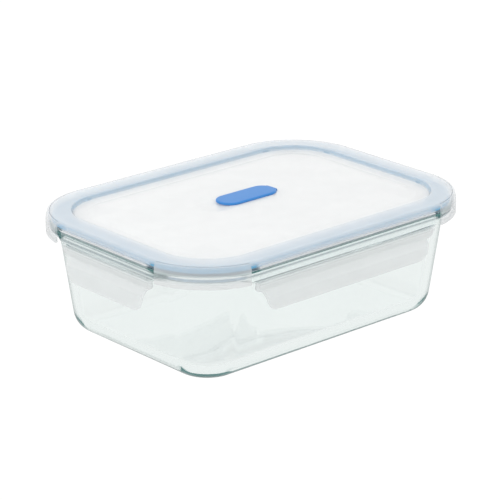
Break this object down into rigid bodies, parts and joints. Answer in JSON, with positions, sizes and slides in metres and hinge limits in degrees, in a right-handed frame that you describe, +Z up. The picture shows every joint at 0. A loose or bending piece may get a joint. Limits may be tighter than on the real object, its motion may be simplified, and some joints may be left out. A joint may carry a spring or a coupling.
{
  "type": "glass storage container",
  "caption": "Rectangular glass food container with a frosted clip-on lid, hinged side clips, gasket and steam vent flap.",
  "frame": {"origin": "middle of the underside of the glass base", "axes": "+X along the long side, +Y along the short side towards the rear clip, +Z up through the lid; the front long-side clip is at -Y"},
  "size_m": [0.23, 0.1684, 0.0763],
  "materials": {
    "glass": "clear pressed glass with a faint green edge tint",
    "frosted_lid": "translucent, lightly frosted",
    "frosted_clip": "translucent, clear at the wall and frosted at the finger lip",
    "blue_silicone": "soft satin",
    "blue_vent": "soft satin"
  },
  "bodies": {
    "tub": {"glass_tub": "glass"},
    "lid": {"lid_shell": "frosted_lid", "seal_ring": "blue_silicone"},
    "clip_front": {"front_clip": "frosted_clip"},
    "clip_rear": {"rear_clip": "frosted_clip"},
    "clip_left": {"left_clip": "frosted_clip"},
    "clip_right": {"right_clip": "frosted_clip"},
    "vent": {"vent_flap": "blue_vent"}
  },
  "joints": [
    {"name": "lid_lift", "type": "slide", "parent": "tub", "child": "lid", "axis": [0, 0, 1], "range_m": [0, 0.108]},
    {"name": "front_clip_hinge", "type": "hinge", "parent": "lid", "child": "clip_front", "pos_m": [0, -0.08325, 0.0714], "axis": [-1, 0, 0], "range_deg": [0, 120]},
    {"name": "rear_clip_hinge", "type": "hinge", "parent": "lid", "child": "clip_rear", "pos_m": [0, 0.08325, 0.0714], "axis": [1, 0, 0], "range_deg": [0, 120]},
    {"name": "left_clip_hinge", "type": "hinge", "parent": "lid", "child": "clip_left", "pos_m": [-0.11405, 0, 0.0714], "axis": [0, 1, 0], "range_deg": [0, 120]},
    {"name": "right_clip_hinge", "type": "hinge", "parent": "lid", "child": "clip_right", "pos_m": [0.11405, 0, 0.0714], "axis": [0, -1, 0], "range_deg": [0, 120]},
    {"name": "vent_flap_hinge", "type": "hinge", "parent": "lid", "child": "vent", "pos_m": [0.02245, 0.0088, 0.0747], "axis": [0, 1, 0], "range_deg": [0, 90]}
  ]
}
